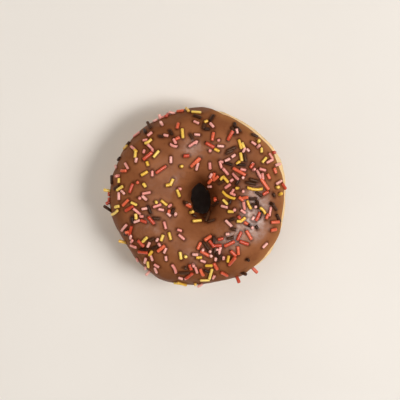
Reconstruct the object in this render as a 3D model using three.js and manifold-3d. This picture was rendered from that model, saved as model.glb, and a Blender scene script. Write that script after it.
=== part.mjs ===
// An iced ring doughnut with sugar strands, in millimetres, +Z up, resting on z = 0 with its
// origin under the middle of the ring. Two solids: the raised dough ring, and the coat of
// chocolate icing over its upper half, with the sugar strands fused into it.

import * as THREE from "three";
import { ParametricGeometry } from "three/addons/geometries/ParametricGeometry.js";
import { mergeVertices } from "three/addons/utils/BufferGeometryUtils.js";
import Module from "manifold-3d";

// ---- Dough ring: driving dimensions ------------------------------------------------------

const RIM_RADIUS = 44.3; // mean radius of the waist, the ring's widest level
const BARE_SWELL = 1.5; // how much more the waist bulges where no icing lies on it
const WAIST_HEIGHT = 15.5;
const DOUGH_HEIGHT = 32.5;
const PRESSED = 1.3; // how much of the rounded underside is pressed flat by its own weight
const FULLNESS = 2.3; // exponent of the section's superellipse, 2 being a plain ellipse

// The hole is an oval a little off the ring's middle, its long way leaning left of +Y.
const HOLE = { x: 2.2, y: -0.8, halfWidth: 6.1, halfLength: 9, lean: 11 };

// Slow unevenness of the rim: how many lobes, how far each swells, and where one peaks.
const RIM_WAVES = [
  { lobes: 1, swell: 1.35, peak: 1 },
  { lobes: 4, swell: 0.25, peak: 61 },
  { lobes: 5, swell: 0.6, peak: 28 },
  { lobes: 6, swell: 0.3, peak: 17 },
  { lobes: 7, swell: 0.2, peak: 30 },
];

// Lumps over the crown and the underside: waves round the ring and across its section, which
// die away at the waist and in the hole.
const LUMPS = [
  { round: 2, across: 1, swell: 0.45, shift: 40 },
  { round: 3, across: 2, swell: 0.35, shift: 200 },
  { round: 5, across: 3, swell: 0.22, shift: 75 },
  { round: 8, across: 2, swell: 0.12, shift: 310 },
];

// ---- Icing: driving dimensions -----------------------------------------------------------

const ICING_THICKNESS = 1.7;
const ICING_LIP = 2.4; // how far in from its rounded edge the icing is at full thickness
const SECTION_RADIUS = 18; // mean radius of the ring's section, which turns angles into lengths
const FITTING_GAP = 0.3; // between the icing and the dough under it
const BLANK_DEPTH = 1.5; // how far the icing's blank reaches into the dough before it is cut

// The icing's outer edge is an angle above the waist in the section. It is high on the side
// that faces HIGH_SIDE and hangs just under the waist on the other, with shallow scallops.
const HIGH_SIDE = 10;
const HIGH_SPAN = { from: 77, to: 60 }; // degrees from that side where the edge climbs
const HIGH_EDGE = 27;
const LOW_EDGE = -7;
const EDGE_WAVES = [
  { lobes: 1, swell: 4, peak: 75 },
  { lobes: 12, swell: 1.6, peak: 20 },
  { lobes: 5, swell: 1.2, peak: 31 },
  { lobes: 19, swell: 0.8, peak: 4 },
];
const HOLE_EDGE = 170; // the icing's edge down the hole, on the same scale
const HOLE_EDGE_WAVES = [
  { lobes: 3, swell: 4.0, peak: 50 },
  { lobes: 7, swell: 2.0, peak: 10 },
];

// ---- Sugar strands: driving dimensions ---------------------------------------------------

const STRAND_RADIUS = 0.8;
const STRAND_SIDES = 5;
const STRAND_RIDE = 0.42; // height of a lying strand's axis over the icing
const STRAND_ROOT = 0.7; // how deep a standing strand is set
const STRAND_SPACING = 1.45; // least distance between the axes of two strands that lie clear
const LEANS = [0, 12, -12, 24, -24]; // degrees, tried in this order until a strand lies clear
const STANDING = { length: 3, tilt: 75, spin: 50 }; // spin is degrees for each millimetre of x + y
const STEEPEST = 0.25; // least upward share of the icing's normal that a heading is followed on
const MOST_STRETCH = 1.4; // how much longer a strand on a slope may be than it looks from above
const LOWEST = 14; // degrees: the lowest on the outside that a strand's middle lies
const EDGE_MARGIN = 2; // degrees of the section that a strand's middle keeps from the icing's edge
const HOLE_MARGIN = 24; // and from its edge in the hole
const STRANDS_IN_SOLID = 160; // the longest ones: the rest are too small to be worth their faces
const MOST_RISE = 40; // degrees: a strand that stands up more isn't in the solid either
const LEAST_BEND = 40; // degrees: a strand that bends less is straight in the solid

// Strands as seen from above: place of the middle, heading anticlockwise from +X in degrees,
// and length. Some have two more numbers: the degrees by which they turn left from end to end,
// and the tilt of one end off the icing. A strand that has only a place stands on end.
const STRANDS = {
  brown: [
    [0.5, 41.5, -20, 4], [5.5, 35, 0, 3], [4, 36.5, 70, 3], [8, 41, 60, 3.5], [-2.5, 31, -60, 3],
    [-13, 33, -60, 3], [19, 34, -70, 4], [22, 35, -50, 3], [20, 37.5, 80, 2.5], [18, 24.5, 25, 5],
    [17, 23, 25, 4], [25, 20.5, -80, 5], [30, 31.5, -25, 3.5], [16.5, 17, -20, 4], [23, 16.5, -5, 4.5],
    [29.5, 8.5, -15, 4.5], [28, 7, -10, 5], [21, 7.5, 60, 3], [12.5, 7.5, 30, 3], [40, 1, -60, 2],
    [32, 1.5, -35, 4], [29, -1, 0, 4], [31.5, -4, -75, 4.5], [29, -4], [33, -9, 70, 4],
    [40.5, -5.5, -55, 3.5], [39, -3.5], [42.5, -11, -65, 4.5], [18, -11.5, 20, 3], [19, -16.5, -10, 2.5],
    [27, -14.5], [31, -15.5, -60, 2], [17, -2.5, 70, 2.5], [10.5, -4, 35, 4], [6, -10.5, 70, 5],
    [7.5, -12, 20, 3.5], [-0.5, -9, -20, 2], [4.5, -8.5, 20, 2], [-6, -3], [9, -22, 85, 4],
    [5, -25, -55, 5], [9.5, -27.5, 80, 4], [11, -30, -60, 4], [12, -31.5, 60, 4], [-6, -39, 0, 5],
    [-5.5, -36.5], [5.5, -38.5, -30, 3], [17.5, -21, 15, 3.5], [26.5, -32.5], [24.5, -39, 30, 3, 0, 45],
    [-24, 36.5, 120, 4, 0, 20], [-26.5, 34, -60, 3], [-18, 31, -10, 2.5], [-36, 28, 50, 3],
    [-40.5, 20, 40, 2.5], [-44, 9, -80, 5.5], [-41.5, 5, 25, 3], [-46, -6, 95, 5, 0, 45],
    [-20.5, -11, -5, 3.5], [-33, -12, -80, 3.5], [-24, -6.5, -70, 4.5], [-12, -7, 60, 3],
    [-27, -27, 0, 4], [-21.5, -26, 20, 3.5], [-23, -22, 30, 3], [-36.5, -18.5, 60, 3],
  ],
  red: [
    [-9.5, 36.5, 75, 3], [8.5, 31, 80, 4.5], [7, 26.5, -30, 5], [-9.5, 30, 25, 2.5], [-5, 21, 5, 3],
    [-0.5, 17.5, 45, 6.5], [1, 18.5, 50, 3.5], [-8.5, 45.5, 5, 3.5], [-15.5, 43.5, 60, 3.5],
    [17.5, 31.5, 60, 5.5], [28.5, 16, 55, 3], [39.5, 22.5, 5, 2.5], [22, 13, -30, 7.5],
    [35, 6.5, -55, 7], [35.5, 2, 30, 3.5], [37, 10.5, -65, 3], [40.5, 13.5, -70, 3],
    [44.5, 5.5, -55, 3.5], [24.5, -0.5, 10, 4.5], [23, -1, -40, 3], [31.5, -10, 65, 5, 20],
    [36.5, -10, 65, 3], [41, -13, 5, 4], [40, -17, 10, 3], [22, -10.5, -60, 2], [25.5, -13.5, -30, 2.5],
    [9, 11, 75, 3], [10, 9.5, 40, 3.5], [7, 8, 50, 3], [9.5, -1, -60, 2], [-5, -5, -30, 3],
    [1.5, -25, 65, 4], [6, -21, 40, 4.5], [8, -24, -50, 4.5], [10.5, -25, 5, 5], [4.5, -29, -30, 5.5],
    [12.5, -21.5, 15, 3], [10, -36, -60, 4], [3, -39, -65, 4, 30], [-3, -36, -70, 3],
    [-3.5, -40.5, 40, 4.5], [14.5, -40, -30, 4], [-14, -7.5, 80, 2], [22, -20, 65, 5], [17, -24, 25, 6],
    [24.5, -23.5, -20, 5], [27, -19.5, -60, 5.5], [21.5, -27.5, -85, 4.5], [19, -29, -45, 4],
    [18.5, -33.5, 60, 6.5], [29.5, -37, 40, 4.5, 0, 90], [21, -41.5, 25, 3.5, 0, 80],
    [-25, 21, 40, 6], [-18, 14, 35, 6.5], [-30, 7.5], [-33.5, 4.5, 70, 5], [-37.5, 13.5, 0, 3],
    [-45, 1.5, 80, 2], [-44, -2, 80, 3], [-46, -3, -85, 3, 0, 65], [-36.5, -3, 45, 4.5],
    [-34.5, -6, 30, 5], [-27, -12.5, -20, 3.5], [-23, -12, -50, 5], [-34, -17.5, 75, 5],
    [-36, -18.5], [-28.5, -24, -45, 4.5], [-27.5, -28.5, -5, 5], [-18, -26.5, 40, 5],
  ],
  yellow: [
    [-4.5, 44.5, -55, 5], [0, 44, -5, 5], [5, 39, 25, 2], [-7, 32.5, -85, 5], [10.5, 24, -25, 3],
    [-7.5, 15.5], [22.5, 27, -75, 5], [24, 26.5, -65, 3], [23, 20.5, -80, 4.5], [21.5, 17.5, 45, 2.5],
    [32.5, 29], [33.5, 24, 90, 2.5], [35, 19, 50, 3.5], [15, 9, -50, 4.5], [13, 9.5, 60, 2],
    [21, 4.5], [16.5, 1, -30, 7.5, 50], [30, 4.5, -5, 8, 40], [42, 5], [43.5, 1.5],
    [27, -4, -65, 5, 10], [14.5, -2.5, -45, 3.5], [17.5, -7.5, 0, 3], [34, -7, -50, 4.5, -40],
    [22, -12.5, -5, 2.5], [24, -11.5, 40, 3], [-12.5, 7.5, 65, 4], [-14.5, 6, 10, 2], [-9, 2, -70, 4],
    [-2, -7], [0.5, -12, 5, 4.5], [-13.5, -20, -75, 4], [-8, -30, -80, 4], [-5.5, -30.5],
    [16.5, -32, 80, 3.5], [1.5, -31, 5, 3], [6.5, -35.5, 10, 4], [7.5, -40, 75, 5.5],
    [4.5, -43, 0, 5], [-7.5, -45, -20, 5], [-10, -46, -5, 4], [-0.5, -45, 90, 3.5],
    [-24.5, 28.5, 40, 4], [-25.5, 28, 15, 2.5], [-20.5, 22, 50, 4.5], [-25, 17, -70, 2.5],
    [-37, 26, 35, 3], [-31.5, 22, 85, 3.5], [-31.5, 24, -40, 2], [-26.5, 12, 30, 4],
    [-26.5, 6, -55, 2.5], [-40, 8.5, 90, 2.5], [-39.5, 4.5, 35, 4], [-48, 3.5, 90, 4, 0, 85],
    [-41, -5, 15, 2.5], [-42, -8, 35, 5.5, 20], [-32, -3.5, -25, 3.5], [-31, -10, -85, 3],
    [-20.5, -2.5], [-16.5, -3, -40, 4], [-38.5, -23.5, 120, 4.5, 0, 45], [-26.5, -22, 45, 4],
    [-23.5, -29, 55, 3], [-25, -35, -85, 3], [-17.5, -21, 70, 3.5],
  ],
  pink: [
    [0, 38.5, -25, 3], [8, 37, -50, 3], [0.5, 32, -5, 3], [11.5, 29], [12.5, 26, -5, 3.5], [7, 23.5],
    [-11.5, 26.5, -20, 4, 60], [-11, 28.5, -65, 3], [-2, 27, 35, 4.5], [0, 28, 60, 2],
    [-13, 19, 90, 3.5], [0.5, 15.5, 75, 4], [7, 16, -85, 3.5], [12.5, 16.5, -75, 4], [13, 18, -10, 2],
    [16, 19, 25, 3], [-15.5, 31.5, -10, 2.5], [-13, 45, 10, 3], [21, 34, -70, 2.5], [24.5, 24, 65, 3],
    [26.5, 24, -45, 2], [19, 21, 35, 2.5], [29, 17, -40, 1.5], [29.5, 14], [29.5, 27.5, -35, 3],
    [32, 26], [38.5, 21, -60, 3.5], [38, 18.5, 30, 3.5], [41.5, 16.5, 20, 3], [24, 14, -10, 3],
    [15, 13, -55, 4.5], [20, 10.5, -45, 5, 20], [18, 8.5, 40, 2], [24, 10], [16, 5.5, 35, 3.5],
    [18.5, 3, 60, 2.5], [18.5, 1.5, -25, 3], [24, 3], [34, 14, -15, 3.5], [32, 12, -65, 4.5],
    [34, 10.5, -80, 3.5], [32.5, 10.5, -60, 4], [42.5, 7.5, 30, 3.5], [24.5, -4.5, -80, 4.5, 15],
    [14, -5, -15, 3.5], [24, -7.5, -35, 3], [19.5, -6.5], [30.5, -5], [38, -7.5, 80, 5],
    [16.5, -13.5, -45, 4.5], [29, -11, 60, 2], [28.5, -15.5], [-8, 4], [7.5, 11, 60, 2.5],
    [7, 5.5, 0, 2], [-2, -3, 0, 2], [-13.5, -4.5, 40, 2.5], [-14, -9, -45, 2.5], [-10.5, -9],
    [-8.5, -17, -20, 2.5], [-7.5, -20.5, -40, 4], [-11.5, -37, -65, 5, -40], [3.5, -27], [7, -28],
    [7.5, -30], [10.5, -27, 0, 2], [12, -27.5, 75, 4], [10, -32, 80, 2], [14, -31.5, 85, 2],
    [-0.5, -29.5, -5, 3], [3.5, -33, -20, 3], [0, -37.5, -70, 3.5], [-1.5, -35], [-5, -42, 30, 2],
    [-8, -42, -20, 2.5], [2, -45.5, 10, 3], [9, -41.5, 60, 2], [16, -19, 10, 2], [35.5, -25, 45, 3.5],
    [-24, 26, -45, 3], [-22.5, 24], [-27, 23.5, 70, 2], [-26.5, 29.5, 10, 2.5], [-24, 32.5, 40, 3],
    [-30.5, 32, 33, 4], [-21, 39, 30, 2.5], [-18, 43.5, 20, 3], [-18, 38], [-18.5, 40.5],
    [-42.5, 16, -60, 3], [-36, 16, -60, 3.5], [-33, 25.5, -40, 3], [-31, 19, 70, 2.5],
    [-22.5, 12, 90, 3], [-41, 11], [-38, 2.5, -40, 3], [-40, 0.5, 90, 4], [-30.5, -7.5, -45, 5],
    [-28, -10, 0, 2], [-30.5, -12.5, 20, 3.5], [-25.5, 2, 10, 4.5], [-26.5, -0.5, -45, 3.5],
    [-29, -0.5], [-26.5, -6, 10, 3], [-20, -4.5, 20, 4.5], [-18, -6.5, -10, 3], [-16, -14.5, -75, 4],
    [-37.5, -16, 50, 4.5], [-34, -21, 65, 3], [-33.5, -23, 45, 3], [-32.5, -25.5, -20, 3.5],
    [-24.5, -24.5, 65, 3], [-23, -31.5, -70, 3], [-30, -32, -70, 2], [-26.5, -33, 75, 3],
    [-26.5, -37, 70, 3], [-24.5, -38.5], [-20.5, -35.5, -30, 3], [-21, -38, -70, 3],
    [-15.5, -31.5, -85, 2.5], [-16, -27.5, 65, 3], [-19, -24.5, -45, 2], [-20, -22, 60, 2],
  ],
};

// ---- Mesh steps: enough to be smooth, few enough to be light ------------------------------

const DOUGH_STEPS = { round: 60, across: 20 };
const ICING_STEPS = { round: 60, across: 12, back: 3 };

// ---- Helpers -----------------------------------------------------------------------------

const radians = THREE.MathUtils.degToRad;
const { lerp, clamp, smoothstep } = THREE.MathUtils;
const FULL_TURN = 2 * Math.PI;
const SLOPE_STEP = 1e-4; // for slopes taken as differences
const ROUNDS = 12;
const SAME_POINT = 1e-3; // vertices nearer than this are one

const signedPower = (value, power) => Math.sign(value) * Math.abs(value) ** power;

function sumOfWaves(waves, turn) {
  return waves.reduce((sum, w) => sum + w.swell * Math.cos(w.lobes * (turn - radians(w.peak))), 0);
}

// ---- Shape of the skins ------------------------------------------------------------------
// A point on the ring has two angles: turn, round the ring from +X, and around, in the
// section from the waist at 0 over the crown at 90 and the hole at 180 to the underside.

// 0 where the icing hangs over the waist, 1 on the high side, where it stops short of it.
function bareness(turn) {
  const [from, to] = [HIGH_SPAN.from, HIGH_SPAN.to].map((angle) => Math.cos(radians(angle)));
  return smoothstep(Math.cos(turn - radians(HIGH_SIDE)), from, to);
}

const rimRadius = (turn) => RIM_RADIUS + BARE_SWELL * bareness(turn) + sumOfWaves(RIM_WAVES, turn);

function holeRadius(turn) {
  const alongWidth = Math.cos(turn - radians(HOLE.lean)) / HOLE.halfWidth;
  const alongLength = Math.sin(turn - radians(HOLE.lean)) / HOLE.halfLength;
  return 1 / Math.hypot(alongWidth, alongLength);
}

function lumpHeight(turn, around) {
  return LUMPS.reduce(
    (sum, l) => sum + l.swell * Math.cos(l.round * turn + radians(l.shift)) * Math.sin(l.across * around),
    0,
  );
}

function doughSkin(turn, around) {
  const out = (1 + signedPower(Math.cos(around), 2 / FULLNESS)) / 2; // 0 at the hole, 1 at the rim
  const rise = signedPower(Math.sin(around), 2 / FULLNESS);
  const reach = rise > 0 ? DOUGH_HEIGHT - WAIST_HEIGHT : WAIST_HEIGHT + PRESSED;
  const lump = lumpHeight(turn, around);
  const radius = lerp(holeRadius(turn), rimRadius(turn), out) + lump * Math.cos(around);
  return new THREE.Vector3(
    HOLE.x * (1 - out) + radius * Math.cos(turn),
    HOLE.y * (1 - out) + radius * Math.sin(turn),
    Math.max(0, WAIST_HEIGHT + rise * reach + lump * Math.sin(around)),
  );
}

// The way out of a skin: the cross product of its slopes round and across the ring.
function outward(skin, turn, around) {
  const round = skin(turn + SLOPE_STEP, around).sub(skin(turn - SLOPE_STEP, around));
  const across = skin(turn, around + SLOPE_STEP).sub(skin(turn, around - SLOPE_STEP));
  return round.cross(across).normalize();
}

function outerEdge(turn) {
  return radians(lerp(LOW_EDGE, HIGH_EDGE, bareness(turn)) + sumOfWaves(EDGE_WAVES, turn));
}

const holeEdge = (turn) => radians(HOLE_EDGE + sumOfWaves(HOLE_EDGE_WAVES, turn));

// The icing swells from nothing at an edge to its full thickness in a quarter ellipse.
function icingThickness(turn, around) {
  const fromEdge = SECTION_RADIUS * Math.min(around - outerEdge(turn), holeEdge(turn) - around);
  const short = 1 - clamp(fromEdge / ICING_LIP, 0, 1);
  return ICING_THICKNESS * Math.sqrt(1 - short * short);
}

function raisedSkin(turn, around, height) {
  return doughSkin(turn, around).addScaledVector(outward(doughSkin, turn, around), height);
}

const icingSkin = (turn, around) => raisedSkin(turn, around, icingThickness(turn, around));

// ---- Sugar strands -----------------------------------------------------------------------

// The two angles of the icing under a place seen from above, found in ROUNDS rounds of guesses.
function anglesUnder(x, y) {
  let turn = Math.atan2(y, x);
  let out = 0.5;
  for (let round = 0; round < ROUNDS; round++) {
    const dx = x - HOLE.x * (1 - out);
    const dy = y - HOLE.y * (1 - out);
    turn = Math.atan2(dy, dx);
    out = (Math.hypot(dx, dy) - holeRadius(turn)) / (rimRadius(turn) - holeRadius(turn));
    out = clamp(out, 0, 1);
  }
  const around = Math.acos(signedPower(2 * out - 1, FULLNESS / 2));
  const lowest = Math.max(radians(LOWEST), outerEdge(turn) + radians(EDGE_MARGIN));
  const deepest = holeEdge(turn) - radians(HOLE_MARGIN);
  return [turn, clamp(around, lowest, deepest)];
}

// A strand set in the icing under a place seen from above. It follows the icing at its
// heading, with one end raised by its tilt and its lean.
function strandOver(x, y, [heading, length, bend, tilt], lean) {
  const angles = anglesUnder(x, y);
  const up = outward(icingSkin, ...angles);
  const along = new THREE.Vector3(Math.cos(radians(heading)), Math.sin(radians(heading)), 0);
  along.z = -along.dot(up) / Math.max(up.z, STEEPEST);
  const long = length * Math.min(along.length(), MOST_STRETCH);
  const flat = along.addScaledVector(up, -along.dot(up)).normalize();
  const rise = radians(tilt + lean);
  const ride = STRAND_RIDE * Math.cos(rise) + (long / 2 - STRAND_ROOT) * Math.abs(Math.sin(rise));
  return {
    length: long,
    bend,
    rise,
    centre: icingSkin(...angles).addScaledVector(up, ride),
    axis: flat.clone().multiplyScalar(Math.cos(rise)).addScaledVector(up, Math.sin(rise)),
    side: up.clone().cross(flat),
  };
}

// A strand whose middle is at the row's place: it is set once, and then moved back by its miss.
function strandAt([x, y, ...pose], lean) {
  const { centre } = strandOver(x, y, pose, lean);
  return strandOver(2 * x - centre.x, 2 * y - centre.y, pose, lean);
}

// A row with what it leaves out: no bend and no tilt, or all but the place of a standing strand.
function inFull(row) {
  if (row.length > 2) return [...row, 0, 0].slice(0, 6);
  return [...row, STANDING.spin * (row[0] + row[1]), STANDING.length, 0, STANDING.tilt];
}

const SAMPLES_ALONG = [-0.44, -0.22, 0, 0.22, 0.44];
const pointsAlong = (s) => SAMPLES_ALONG.map((t) => s.centre.clone().addScaledVector(s.axis, t * s.length));

function clearOf(points, taken) {
  return points.every((p) => taken.every((q) => p.distanceToSquared(q) > STRAND_SPACING ** 2));
}

// Each strand leans only if it would cut through one laid before it.
function layStrands() {
  const taken = [];
  return Object.values(STRANDS).flat().map((row) => {
    const leaning = LEANS.map((lean) => strandAt(inFull(row), lean));
    const strand = leaning.find((s) => clearOf(pointsAlong(s), taken)) ?? leaning[0];
    taken.push(...pointsAlong(strand));
    return strand;
  });
}

// ---- Solids ------------------------------------------------------------------------------

const wasm = await Module();
wasm.setup();

function solidOf(geometry) {
  const bare = geometry.clone();
  bare.deleteAttribute("normal");
  bare.deleteAttribute("uv");
  const merged = mergeVertices(bare, SAME_POINT);
  return new wasm.Manifold(
    new wasm.Mesh({
      numProp: 3,
      vertProperties: new Float32Array(merged.attributes.position.array),
      triVerts: new Uint32Array(merged.index.array),
    }),
  );
}

function geometryOf(solid) {
  const mesh = solid.getMesh();
  const geometry = new THREE.BufferGeometry();
  geometry.setAttribute("position", new THREE.BufferAttribute(mesh.vertProperties, 3));
  geometry.setIndex(new THREE.BufferAttribute(mesh.triVerts, 1));
  return geometry;
}

// A closed ring whose section is walked once by the second parameter, 0 to 1.
function ringGeometry(pointAt, steps) {
  const place = (u, v, target) => target.copy(pointAt(FULL_TURN * (u % 1), v % 1));
  return new ParametricGeometry(place, steps.round, steps.across);
}

function doughGeometry(grown = 0) {
  return ringGeometry((turn, v) => raisedSkin(turn, FULL_TURN * v, grown), DOUGH_STEPS);
}

// The icing's body before the dough is cut from it: over the top from the outer edge to the
// edge in the hole, and back again inside the dough.
function icingBlank() {
  const across = ICING_STEPS.across + ICING_STEPS.back;
  const crossing = ICING_STEPS.across / across;
  const pointAt = (turn, v) => {
    const over = v <= crossing;
    const around = lerp(outerEdge(turn), holeEdge(turn), over ? v / crossing : (1 - v) / (1 - crossing));
    return over ? icingSkin(turn, around) : raisedSkin(turn, around, -BLANK_DEPTH);
  };
  return ringGeometry(pointAt, { round: ICING_STEPS.round, across });
}

// A prism with its ends on the strand's axis. A well bent strand bows to one side between them,
// as a parabola whose depth is that of an arc of the same bend.
function strandSolid({ length, bend, side, axis, centre }) {
  const steps = Math.abs(bend) < LEAST_BEND ? 1 : 3;
  const prism = new THREE.CylinderGeometry(STRAND_RADIUS, STRAND_RADIUS, length, STRAND_SIDES, steps);
  const bow = -(length * radians(bend)) / 8;
  const { position } = prism.attributes;
  for (let i = 0; i < position.count; i++) {
    const along = (2 * position.getY(i)) / length;
    position.setX(i, position.getX(i) + bow * (1 - along * along));
  }
  prism.applyMatrix4(new THREE.Matrix4().makeBasis(side, axis, side.clone().cross(axis)));
  prism.translate(...centre);
  return solidOf(prism);
}

// Drops loose scraps and fills sealed hollows, which are pieces of their own here.
function largestPiece(solid) {
  return solid.decompose().reduce((best, piece) => (piece.volume() > best.volume() ? piece : best));
}

function icingWithStrands() {
  const longest = layStrands()
    .filter((strand) => Math.abs(strand.rise) < radians(MOST_RISE))
    .sort((a, b) => b.length - a.length)
    .slice(0, STRANDS_IN_SOLID);
  const coat = longest.reduce((sum, strand) => sum.add(strandSolid(strand)), solidOf(icingBlank()));
  const fitted = coat.subtract(solidOf(doughGeometry(FITTING_GAP)));
  return largestPiece(solidOf(geometryOf(largestPiece(fitted)))); // once more with like points joined
}

// ---- The object --------------------------------------------------------------------------

const doughMaterial = new THREE.MeshStandardMaterial({ color: 0xd9a15c, roughness: 0.75, metalness: 0 });
const icingMaterial = new THREE.MeshStandardMaterial({ color: 0x83573d, roughness: 0.35, metalness: 0 });

const doughRing = new THREE.Mesh(doughGeometry(), doughMaterial);
doughRing.name = "dough_ring";

const chocolateIcing = new THREE.Mesh(geometryOf(icingWithStrands()), icingMaterial);
chocolateIcing.geometry.computeVertexNormals();
chocolateIcing.name = "chocolate_icing";

const doughnut = new THREE.Group();
doughnut.add(doughRing, chocolateIcing);

export default doughnut;
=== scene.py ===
"""The looks of an iced ring doughnut with sugar strands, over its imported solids.

The fried dough, the coat of milk chocolate icing and the sugar strands are surfaces worked
out with numpy, each a closed mesh. Shapes are worked out in millimetres with +Z up, and are
turned into metres where they are put into a mesh.
"""

import math

import bpy
import numpy as np
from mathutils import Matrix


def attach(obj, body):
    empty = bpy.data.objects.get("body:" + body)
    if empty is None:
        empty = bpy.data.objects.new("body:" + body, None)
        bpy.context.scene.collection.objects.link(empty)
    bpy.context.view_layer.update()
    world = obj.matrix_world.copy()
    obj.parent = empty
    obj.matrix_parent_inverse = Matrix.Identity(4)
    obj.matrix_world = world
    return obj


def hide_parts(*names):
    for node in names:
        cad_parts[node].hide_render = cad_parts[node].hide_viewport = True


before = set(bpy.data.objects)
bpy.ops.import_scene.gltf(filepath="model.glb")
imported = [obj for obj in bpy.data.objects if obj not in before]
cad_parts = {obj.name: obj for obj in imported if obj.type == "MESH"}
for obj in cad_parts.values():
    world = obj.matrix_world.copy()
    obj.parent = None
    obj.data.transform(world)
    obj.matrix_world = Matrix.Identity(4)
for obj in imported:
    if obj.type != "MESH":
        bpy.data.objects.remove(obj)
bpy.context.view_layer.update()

METRE = 0.001  # one millimetre in Blender's metres

# ---- Dough ring ------------------------------------------------------------------------------

RIM_RADIUS = 44.3  # mean radius of the waist, the ring's widest level
BARE_SWELL = 1.5  # how much more the waist bulges where no icing lies on it
WAIST_HEIGHT = 15.5
DOUGH_HEIGHT = 32.5
PRESSED = 1.3  # how much of the rounded underside is pressed flat
FULLNESS = 2.3  # exponent of the section's superellipse
HOLE_X, HOLE_Y = 2.2, -0.8
HOLE_HALF_WIDTH, HOLE_HALF_LENGTH = 6.1, 9
HOLE_LEAN = math.radians(11)
# Waves in the rim: lobes in a turn, swell, and the degrees at which it peaks.
RIM_WAVES = [(1, 1.35, 1), (4, 0.25, 61), (5, 0.6, 28), (6, 0.3, 17), (7, 0.2, 30)]
# Lumps: rounds in a turn, waves across the section, swell, and degrees of shift.
LUMPS = [(2, 1, 0.45, 40), (3, 2, 0.35, 200), (5, 3, 0.22, 75), (8, 2, 0.12, 310)]

# ---- Icing -----------------------------------------------------------------------------------

ICING_THICKNESS = 1.7
ICING_LIP = 2.4  # how far in from its rounded edge the icing is at full thickness
SECTION_RADIUS = 18  # turns angles of the section into lengths
HIGH_SIDE = math.radians(10)
# Cosines of the angles from the high side between which the edge climbs.
HIGH_FROM, HIGH_TO = math.cos(math.radians(77)), math.cos(math.radians(60))
HIGH_EDGE, LOW_EDGE = 27, -7  # degrees over the waist
HOLE_EDGE = 170  # degrees over the waist, down the hole
# Waves in the two edges, as the rim's, with their swells in degrees.
EDGE_WAVES = [(1, 4, 75), (12, 1.6, 20), (5, 1.2, 31), (19, 0.8, 4)]
HOLE_EDGE_WAVES = [(3, 4.0, 50), (7, 2.0, 10)]

# ---- Sugar strands ---------------------------------------------------------------------------

STRAND_RADIUS = 0.8
STRAND_RIDE = 0.42  # height of a lying strand's axis over the icing
STRAND_ROOT = 0.7  # how deep a standing strand is set
STRAND_SPACING = 1.45  # least distance between the axes of two strands that lie clear
LEANS = (0, 12, -12, 24, -24)  # degrees, tried in this order until a strand lies clear
STANDING_LENGTH, STANDING_TILT, STANDING_SPIN = 3, 75, 50  # spin: degrees for each mm of x + y
STEEPEST = 0.25  # least upward share of the icing's normal that a heading is followed on
MOST_STRETCH = 1.4  # how much longer a strand on a slope may be than it looks from above
LOWEST = 14  # degrees: the lowest on the outside that a strand's middle lies
EDGE_MARGIN, HOLE_MARGIN = 2, 24  # degrees that a strand's middle keeps from the icing's edges
AXIS_SHARES = np.array([-0.44, -0.22, 0, 0.22, 0.44])  # places on an axis that have to lie clear
ROUNDS_OF_GUESSES = 12  # for the angles under a place seen from above
FAR_OFF = 1e6  # stands in for the nearest strand where there is none

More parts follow.
